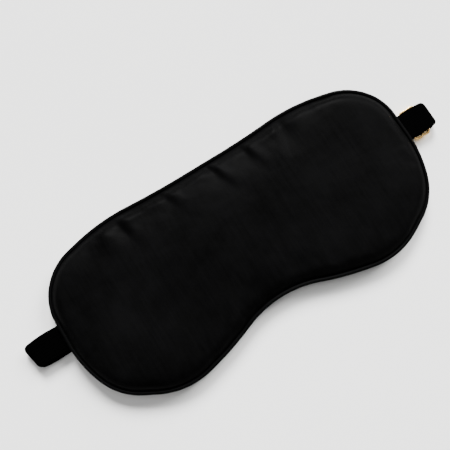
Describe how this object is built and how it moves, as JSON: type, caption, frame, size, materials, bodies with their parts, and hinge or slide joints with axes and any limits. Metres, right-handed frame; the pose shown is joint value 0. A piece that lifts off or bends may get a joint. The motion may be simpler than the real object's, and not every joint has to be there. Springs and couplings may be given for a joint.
{
  "type": "sleep eye mask",
  "caption": "Padded satin sleep eye mask with a nose notch, piped edge and an elastic strap that a slider and ring adjust.",
  "frame": {"origin": "on the supporting surface, under the middle of the mask's bounding box, with the strap lying folded behind it", "axes": "+X along the mask towards the wearer's adjuster side of the strap, +Y towards the brow edge, +Z out of the outer satin face"},
  "size_m": [0.2376, 0.0926, 0.0135],
  "materials": {
    "satin": "satin weave",
    "satin_piping": "satin weave cut on the bias",
    "wadding": "soft lofted fibre",
    "blackout": "matt plain weave",
    "thread": "twisted polyester thread",
    "elastic": "ribbed woven elastic",
    "gold": "polished gold plate"
  },
  "bodies": {
    "mask": {"front_panel": "satin", "front_wadding": "wadding", "blackout_lining": "blackout", "back_wadding": "wadding", "back_panel": "satin", "piping_cover": "satin_piping", "piping_cord": "thread", "seam_thread": "thread", "left_strap_end": "elastic", "right_strap_end": "elastic", "left_bar_tack": "thread", "right_bar_tack": "thread"},
    "left_tab": {"left_tab": "elastic", "left_fold": "elastic"},
    "left_span": {"strap_left_span": "elastic"},
    "middle_span": {"strap_middle_span": "elastic", "ring_bar_tack": "thread"},
    "right_tab": {"right_tab": "elastic", "right_fold": "elastic"},
    "right_span": {"adjuster_strap": "elastic", "adjuster_return": "elastic", "strap_ring": "gold"},
    "slider": {"slider": "gold", "adjuster_end_loop": "elastic", "slider_bar_tack": "thread"}
  },
  "joints": [
    {"name": "strap_open", "type": "hinge", "parent": "left_tab", "child": "mask", "pos_m": [-0.1022, 0.006, 0.0059], "axis": [0, 1, 0], "range_deg": [0, 60]},
    {"name": "left_fold_unroll", "type": "hinge", "parent": "left_span", "child": "left_tab", "pos_m": [-0.11668, 0.006, 0.00313], "axis": [0, -1, 0], "range_deg": [0, 84], "deforming": ["left_fold"]},
    {"name": "middle_bend", "type": "hinge", "parent": "middle_span", "child": "left_span", "pos_m": [-0.04, 0.006, 0.00035], "axis": [0, 1, 0], "range_deg": [0, 19.8]},
    {"name": "right_seam_bend", "type": "hinge", "parent": "mask", "child": "right_tab", "pos_m": [0.1022, 0.006, 0.0059], "axis": [0, 1, 0], "range_deg": [0, 55.8]},
    {"name": "right_fold_unroll", "type": "hinge", "parent": "right_tab", "child": "right_span", "pos_m": [0.11507, 0.006, 0.00352], "axis": [0, -1, 0], "range_deg": [0, 84.7], "deforming": ["right_fold"]},
    {"name": "slider_slide", "type": "slide", "parent": "right_span", "child": "slider", "axis": [-1, 0, 0], "range_m": [0, 0.05], "deforming": ["adjuster_strap", "adjuster_return"]}
  ],
  "couplings": [
    {"joint": "left_fold_unroll", "follows": "strap_open", "ratio": 1.399},
    {"joint": "middle_bend", "follows": "strap_open", "ratio": 0.329},
    {"joint": "right_seam_bend", "follows": "strap_open", "ratio": 0.93},
    {"joint": "right_fold_unroll", "follows": "strap_open", "ratio": 1.411}
  ]
}
